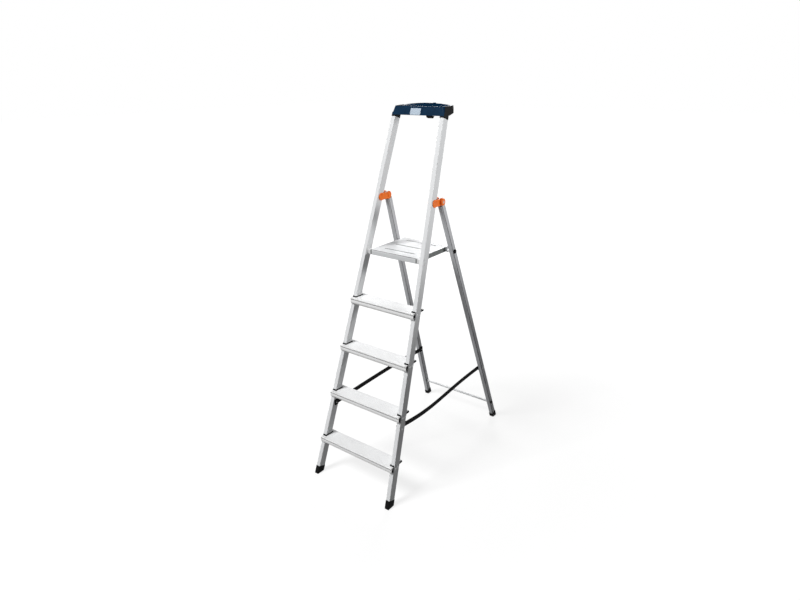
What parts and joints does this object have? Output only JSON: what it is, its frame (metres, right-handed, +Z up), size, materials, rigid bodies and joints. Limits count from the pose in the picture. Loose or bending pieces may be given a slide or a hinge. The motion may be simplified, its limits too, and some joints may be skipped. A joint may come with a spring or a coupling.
{
  "type": "step ladder",
  "caption": "Folding aluminium platform step ladder with ribbed treads, rear frame on side hinges, slack straps and a top tool tray.",
  "frame": {"origin": "on the floor, in the middle of the open ladder's footprint", "axes": "+Z up, +Y from the treads to the rear legs, +X to the right of someone facing the treads"},
  "size_m": [0.4646, 0.9836, 1.6837],
  "materials": {
    "frame_aluminium": "satin extruded aluminium",
    "ribbed_aluminium": "extruded aluminium with fine anti-slip ribs",
    "black_plastic": "moulded black plastic",
    "orange_plastic": "moulded orange plastic",
    "grey_plastic": "moulded grey plastic",
    "blue_plastic": "moulded dark blue plastic",
    "plate_plastic": "blank pale plate",
    "pin_steel": "domed pin heads",
    "rivet_steel": "domed rivets and flush screws",
    "webbing": "woven strap"
  },
  "bodies": {
    "front_frame": {"bucket_hook": "black_plastic", "front_shoe_left": "black_plastic", "front_shoe_right": "black_plastic", "front_strap_clip_left": "black_plastic", "front_strap_clip_right": "black_plastic", "front_strap_rivets": "rivet_steel", "hinge_bracket_left": "orange_plastic", "hinge_bracket_right": "orange_plastic", "hinge_pin_left": "pin_steel", "hinge_pin_right": "pin_steel", "hinge_rivets": "rivet_steel", "platform_bracket_left": "grey_plastic", "platform_bracket_right": "grey_plastic", "platform_bracket_rivets": "rivet_steel", "platform_pin_left": "rivet_steel", "platform_pin_right": "rivet_steel", "stile_left": "frame_aluminium", "stile_right": "frame_aluminium", "strap_left": "webbing", "strap_right": "webbing", "top_tray": "blue_plastic", "tray_plate": "plate_plastic", "tray_rivets": "rivet_steel", "tread_1": "ribbed_aluminium", "tread_2": "ribbed_aluminium", "tread_3": "ribbed_aluminium", "tread_4": "ribbed_aluminium", "tread_cap_left_1": "black_plastic", "tread_cap_left_2": "black_plastic", "tread_cap_left_3": "black_plastic", "tread_cap_left_4": "black_plastic", "tread_cap_right_1": "black_plastic", "tread_cap_right_2": "black_plastic", "tread_cap_right_3": "black_plastic", "tread_cap_right_4": "black_plastic", "tread_rivets": "rivet_steel"},
    "rear_frame": {"brace_plugs": "black_plastic", "crossbar_plugs": "black_plastic", "leg_head_left": "grey_plastic", "leg_head_right": "grey_plastic", "platform_crossbar": "ribbed_aluminium", "rear_brace": "ribbed_aluminium", "rear_leg_left": "frame_aluminium", "rear_leg_right": "frame_aluminium", "rear_shoe_left": "black_plastic", "rear_shoe_right": "black_plastic", "rear_strap_clip_left": "black_plastic", "rear_strap_clip_right": "black_plastic", "rear_strap_rivets": "rivet_steel"},
    "platform": {"platform_cover_left": "black_plastic", "platform_cover_right": "black_plastic", "platform_deck": "ribbed_aluminium", "platform_hook_left": "grey_plastic", "platform_hook_right": "grey_plastic", "platform_screws": "rivet_steel"}
  },
  "joints": [
    {"name": "rear_fold", "type": "hinge", "parent": "front_frame", "child": "rear_frame", "pos_m": [0, 0.00685, 1.281], "axis": [-1, 0, 0], "range_deg": [0, 37.82], "deforming": ["strap_right", "strap_left"]},
    {"name": "platform_lift", "type": "hinge", "parent": "front_frame", "child": "platform", "pos_m": [0, -0.13065, 1.044], "axis": [1, 0, 0], "range_deg": [0, 71.8]}
  ],
  "couplings": [
    {"joint": "platform_lift", "follows": "rear_fold", "ratio": 1.8983}
  ]
}
